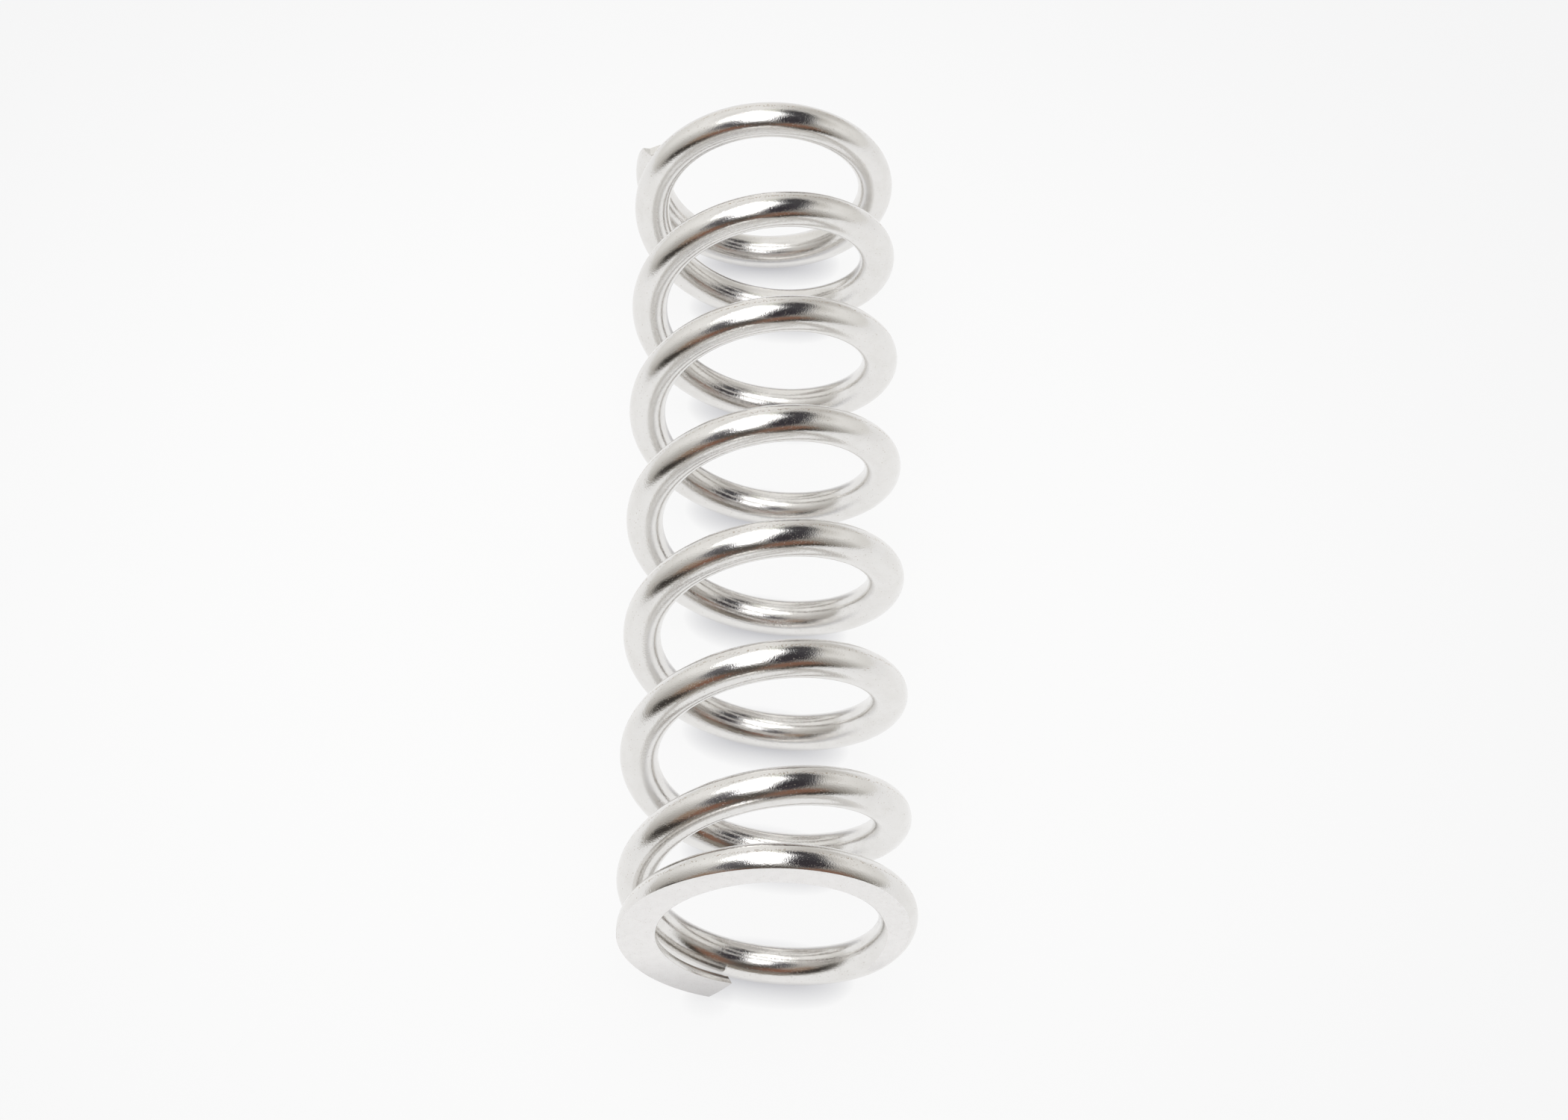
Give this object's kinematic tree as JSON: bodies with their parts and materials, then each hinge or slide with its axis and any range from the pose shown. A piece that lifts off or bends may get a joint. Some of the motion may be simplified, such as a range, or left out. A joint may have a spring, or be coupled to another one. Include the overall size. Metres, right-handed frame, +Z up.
{
  "type": "compression spring",
  "caption": "Cylindrical helical compression spring of bright plated round steel wire, right-hand wound, with closed ends ground flat; it squeezes along its axis.",
  "frame": {"origin": "on the surface that the spring lies on, under the middle of the spring", "axes": "+Y along the spring's axis from the front end to the rear end, +Z up from the surface, +X to the right as seen from the front end"},
  "size_m": [0.025, 0.0832, 0.025],
  "materials": {
    "plated_spring_steel": "bright nickel-like plating over drawn spring wire, lightly marked along the wire; ground end faces matt"
  },
  "bodies": {
    "front_end_coil": {"front_end_coil": "plated_spring_steel"},
    "coil_2_top": {"coil_2_top": "plated_spring_steel"},
    "coil_2_bottom": {"coil_2_bottom": "plated_spring_steel"},
    "coil_3_top": {"coil_3_top": "plated_spring_steel"},
    "coil_3_bottom": {"coil_3_bottom": "plated_spring_steel"},
    "coil_4_top": {"coil_4_top": "plated_spring_steel"},
    "coil_4_bottom": {"coil_4_bottom": "plated_spring_steel"},
    "coil_5_top": {"coil_5_top": "plated_spring_steel"},
    "coil_5_bottom": {"coil_5_bottom": "plated_spring_steel"},
    "coil_6_top": {"coil_6_top": "plated_spring_steel"},
    "coil_6_bottom": {"coil_6_bottom": "plated_spring_steel"},
    "coil_7_top": {"coil_7_top": "plated_spring_steel"},
    "coil_7_bottom": {"coil_7_bottom": "plated_spring_steel"},
    "rear_end_coil": {"rear_end_coil": "plated_spring_steel"}
  },
  "joints": [
    {"name": "compression_1", "type": "slide", "parent": "front_end_coil", "child": "coil_2_top", "axis": [0, -1, 0], "range_m": [0, 0.001], "stiffness_N_per_m": 2300},
    {"name": "compression_2", "type": "slide", "parent": "coil_2_top", "child": "coil_2_bottom", "axis": [0, -1, 0], "range_m": [0, 0.00425], "stiffness_N_per_m": 2300},
    {"name": "compression_3", "type": "slide", "parent": "coil_2_bottom", "child": "coil_3_top", "axis": [0, -1, 0], "range_m": [0, 0.00425], "stiffness_N_per_m": 2300},
    {"name": "compression_4", "type": "slide", "parent": "coil_3_top", "child": "coil_3_bottom", "axis": [0, -1, 0], "range_m": [0, 0.00425], "stiffness_N_per_m": 2300},
    {"name": "compression_5", "type": "slide", "parent": "coil_3_bottom", "child": "coil_4_top", "axis": [0, -1, 0], "range_m": [0, 0.00425], "stiffness_N_per_m": 2300},
    {"name": "compression_6", "type": "slide", "parent": "coil_4_top", "child": "coil_4_bottom", "axis": [0, -1, 0], "range_m": [0, 0.00425], "stiffness_N_per_m": 2300},
    {"name": "compression_7", "type": "slide", "parent": "coil_4_bottom", "child": "coil_5_top", "axis": [0, -1, 0], "range_m": [0, 0.00425], "stiffness_N_per_m": 2300},
    {"name": "compression_8", "type": "slide", "parent": "coil_5_top", "child": "coil_5_bottom", "axis": [0, -1, 0], "range_m": [0, 0.00425], "stiffness_N_per_m": 2300},
    {"name": "compression_9", "type": "slide", "parent": "coil_5_bottom", "child": "coil_6_top", "axis": [0, -1, 0], "range_m": [0, 0.00425], "stiffness_N_per_m": 2300},
    {"name": "compression_10", "type": "slide", "parent": "coil_6_top", "child": "coil_6_bottom", "axis": [0, -1, 0], "range_m": [0, 0.00425], "stiffness_N_per_m": 2300},
    {"name": "compression_11", "type": "slide", "parent": "coil_6_bottom", "child": "coil_7_top", "axis": [0, -1, 0], "range_m": [0, 0.00425], "stiffness_N_per_m": 2300},
    {"name": "compression_12", "type": "slide", "parent": "coil_7_top", "child": "coil_7_bottom", "axis": [0, -1, 0], "range_m": [0, 0.00425], "stiffness_N_per_m": 2300},
    {"name": "compression_13", "type": "slide", "parent": "coil_7_bottom", "child": "rear_end_coil", "axis": [0, -1, 0], "range_m": [0, 0.0009], "stiffness_N_per_m": 2300}
  ],
  "couplings": [
    {"joint": "compression_1", "follows": "compression_2", "ratio": 0.235},
    {"joint": "compression_3", "follows": "compression_2", "ratio": 1},
    {"joint": "compression_4", "follows": "compression_2", "ratio": 1},
    {"joint": "compression_5", "follows": "compression_2", "ratio": 1},
    {"joint": "compression_6", "follows": "compression_2", "ratio": 1},
    {"joint": "compression_7", "follows": "compression_2", "ratio": 1},
    {"joint": "compression_8", "follows": "compression_2", "ratio": 1},
    {"joint": "compression_9", "follows": "compression_2", "ratio": 1},
    {"joint": "compression_10", "follows": "compression_2", "ratio": 1},
    {"joint": "compression_11", "follows": "compression_2", "ratio": 1},
    {"joint": "compression_12", "follows": "compression_2", "ratio": 1},
    {"joint": "compression_13", "follows": "compression_2", "ratio": 0.21}
  ]
}
